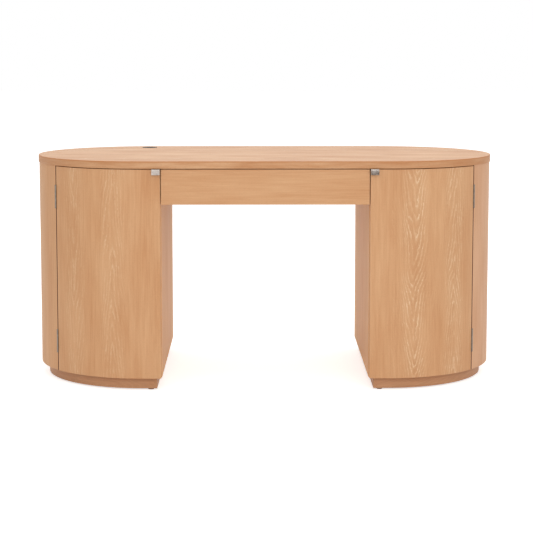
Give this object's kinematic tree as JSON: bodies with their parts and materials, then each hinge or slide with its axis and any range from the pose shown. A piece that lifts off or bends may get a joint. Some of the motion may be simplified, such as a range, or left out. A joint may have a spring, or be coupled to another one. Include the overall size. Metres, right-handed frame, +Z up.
{
  "type": "executive desk",
  "caption": "Oval executive desk in natural ash veneer: round-ended pedestal cabinets with curved doors, a centre drawer, recessed plinths and a cable grommet.",
  "frame": {"origin": "on the floor under the middle of the desktop", "axes": "+Z up, +X to the sitter's right, -Y towards the sitter, the side of the doors and the drawer"},
  "size_m": [1.57, 0.7725, 0.763],
  "materials": {
    "ash_veneer": "satin clear lacquer over natural ash veneer",
    "plinth_ash": "satin lacquered ash veneer, a little darker and redder",
    "drawer_ply": "clear lacquered birch plywood",
    "beech": "raw beech",
    "brushed_nickel": "satin nickel plate",
    "zinc_steel": "bright zinc plate",
    "bearing_steel": "polished balls in a bright steel cage",
    "gunmetal_plastic": "moulded, dark gunmetal",
    "glide_plastic": "moulded, dark brown",
    "catch_plastic": "moulded, brown",
    "magnet_ferrite": "sintered, dark grey"
  },
  "bodies": {
    "root": {"cabinet_floor_left": "ash_veneer", "cabinet_floor_right": "ash_veneer", "cabinet_top_left": "ash_veneer", "cabinet_top_right": "ash_veneer", "carcass_dowels": "beech", "catch_housings": "catch_plastic", "catch_magnets": "magnet_ferrite", "curved_shell_left": "ash_veneer", "curved_shell_right": "ash_veneer", "desktop": "ash_veneer", "desktop_screws": "zinc_steel", "glides": "glide_plastic", "grommet_ring": "gunmetal_plastic", "hinge_pins": "brushed_nickel", "inner_panel_left": "ash_veneer", "inner_panel_right": "ash_veneer", "plinth_bend_left": "plinth_ash", "plinth_bend_right": "plinth_ash", "plinth_blocks": "beech", "plinth_board_left": "plinth_ash", "plinth_board_right": "plinth_ash", "plinth_screws": "zinc_steel", "rear_apron": "ash_veneer", "shelf_pins": "brushed_nickel", "shell_hinge_leaves": "brushed_nickel", "shell_hinge_screws": "brushed_nickel", "slide_outer_left": "zinc_steel", "slide_outer_right": "zinc_steel", "small_screws": "zinc_steel"},
    "door_left": {"door_left": "ash_veneer", "door_hinge_leaves_left": "brushed_nickel", "door_hinge_screws_left": "brushed_nickel", "pull_left": "brushed_nickel", "pull_screws_left": "brushed_nickel", "strike_plate_left": "brushed_nickel"},
    "door_right": {"door_right": "ash_veneer", "door_hinge_leaves_right": "brushed_nickel", "door_hinge_screws_right": "brushed_nickel", "pull_right": "brushed_nickel", "pull_screws_right": "brushed_nickel", "strike_plate_right": "brushed_nickel"},
    "drawer": {"drawer_front": "ash_veneer", "drawer_box_front": "drawer_ply", "drawer_back": "drawer_ply", "drawer_bottom": "drawer_ply", "drawer_side_left": "drawer_ply", "drawer_side_right": "drawer_ply", "drawer_front_screws": "zinc_steel", "slide_inner_left": "zinc_steel", "slide_inner_right": "zinc_steel", "slide_inner_screws": "zinc_steel"},
    "slide_middles": {"slide_middles": "zinc_steel"},
    "cages_outer": {"ball_cages_outer": "bearing_steel"},
    "cages_inner": {"ball_cages_inner": "bearing_steel"},
    "shelf_left": {"shelf_left": "ash_veneer"},
    "shelf_right": {"shelf_right": "ash_veneer"},
    "grommet_cap": {"grommet_cap": "gunmetal_plastic"}
  },
  "joints": [
    {"name": "door_left_swing", "type": "hinge", "parent": "root", "child": "door_left", "pos_m": [-0.70155, -0.23668, 0.38], "axis": [0, 0, -1], "range_deg": [0, 170]},
    {"name": "door_right_swing", "type": "hinge", "parent": "root", "child": "door_right", "pos_m": [0.70155, -0.23668, 0.38], "axis": [0, 0, 1], "range_deg": [0, 170]},
    {"name": "drawer_slide", "type": "slide", "parent": "root", "child": "drawer", "axis": [0, -1, 0], "range_m": [0, 0.45]},
    {"name": "slide_middle_run", "type": "slide", "parent": "root", "child": "slide_middles", "axis": [0, -1, 0], "range_m": [0, 0.225]},
    {"name": "cage_outer_run", "type": "slide", "parent": "root", "child": "cages_outer", "axis": [0, -1, 0], "range_m": [0, 0.1125]},
    {"name": "cage_inner_run", "type": "slide", "parent": "root", "child": "cages_inner", "axis": [0, -1, 0], "range_m": [0, 0.3375]},
    {"name": "shelf_left_lift", "type": "slide", "parent": "root", "child": "shelf_left", "axis": [0, 0, 1], "range_m": [0, 0.03]},
    {"name": "shelf_right_lift", "type": "slide", "parent": "root", "child": "shelf_right", "axis": [0, 0, 1], "range_m": [0, 0.03]},
    {"name": "grommet_cap_turn", "type": "hinge", "parent": "root", "child": "grommet_cap", "pos_m": [-0.42, 0.3, 0.762], "axis": [0, 0, 1], "continuous": true}
  ],
  "couplings": [
    {"joint": "slide_middle_run", "follows": "drawer_slide", "ratio": 0.5},
    {"joint": "cage_outer_run", "follows": "drawer_slide", "ratio": 0.25},
    {"joint": "cage_inner_run", "follows": "drawer_slide", "ratio": 0.75}
  ]
}
